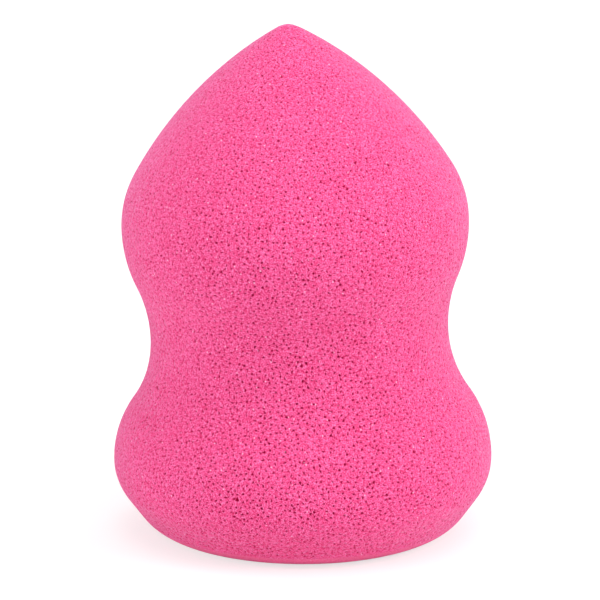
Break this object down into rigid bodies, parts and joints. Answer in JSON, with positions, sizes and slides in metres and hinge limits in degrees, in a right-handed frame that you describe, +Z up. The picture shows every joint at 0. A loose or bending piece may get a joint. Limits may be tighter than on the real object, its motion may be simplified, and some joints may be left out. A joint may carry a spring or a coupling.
{
  "type": "makeup sponge",
  "caption": "Gourd-shaped foam makeup sponge with a pointed top, a drawn-in waist, a wider lower bulge and a flat foot, for blending foundation on skin.",
  "frame": {"origin": "middle of the flat foot that the sponge stands on", "axes": "+Z up along the axis the sponge is round about, from the foot to the pointed tip; X and Y are any two level directions"},
  "size_m": [0.0428, 0.0428, 0.0581],
  "materials": {
    "foam_core": "matte open-cell polyurethane foam, pink all through",
    "foam_skin": "matte pink foam skin with fine dark pores and a few bright cell glints",
    "foam_foot": "matte pink foam skin, smooth on the rolled rim and finely pored under the foot"
  },
  "bodies": {
    "root": {"foam_core": "foam_core", "side_skin": "foam_skin", "base_skin": "foam_foot"}
  },
  "joints": []
}
